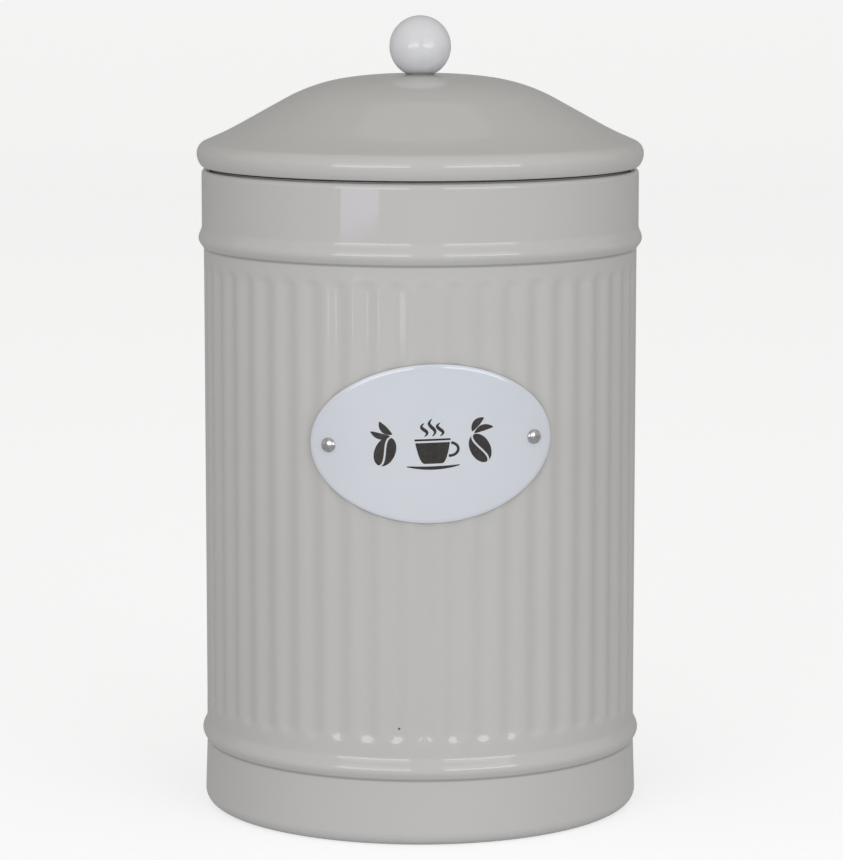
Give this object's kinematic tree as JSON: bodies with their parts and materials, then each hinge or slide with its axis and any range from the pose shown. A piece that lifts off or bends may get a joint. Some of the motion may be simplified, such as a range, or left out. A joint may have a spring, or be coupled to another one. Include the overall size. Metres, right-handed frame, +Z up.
{
  "type": "coffee tin",
  "caption": "Round fluted sheet-steel storage tin with raised beads, an oval riveted plate and a lift-off domed lid with a ball knob.",
  "frame": {"origin": "centre of the foot, on the plane that the tin stands on", "axes": "+Z up along the tin's axis, -Y out of the oval plate, +X to the right seen from the plate's side"},
  "size_m": [0.1236, 0.1236, 0.2196],
  "materials": {
    "painted_steel": "glossy stove enamel paint on steel",
    "plate_enamel": "glossy white enamel with a printed dark motif",
    "rivet_steel": "bright nickel-plated steel",
    "motif_ink": "dark fired print",
    "knob_ceramic": "glossy white glaze",
    "insert_brass": "turned brass",
    "screw_steel": "zinc-plated steel",
    "washer_nylon": "warm grey nylon",
    "seal_rubber": "matt black rubber"
  },
  "bodies": {
    "tin": {"body_wall": "painted_steel", "base_disc": "painted_steel", "name_plate": "plate_enamel", "plate_rivet_left": "rivet_steel", "plate_rivet_right": "rivet_steel", "rivet_washer_left": "rivet_steel", "rivet_washer_right": "rivet_steel"},
    "lid": {"lid_dome": "painted_steel", "lid_collar": "painted_steel", "lid_seal": "seal_rubber", "knob_ball": "knob_ceramic", "knob_washer": "washer_nylon", "knob_insert": "insert_brass", "knob_screw": "screw_steel", "screw_washer": "screw_steel", "spring_washer": "screw_steel"}
  },
  "joints": [
    {"name": "lid_lift", "type": "slide", "parent": "tin", "child": "lid", "axis": [0, 0, 1], "range_m": [0, 0.12]}
  ]
}
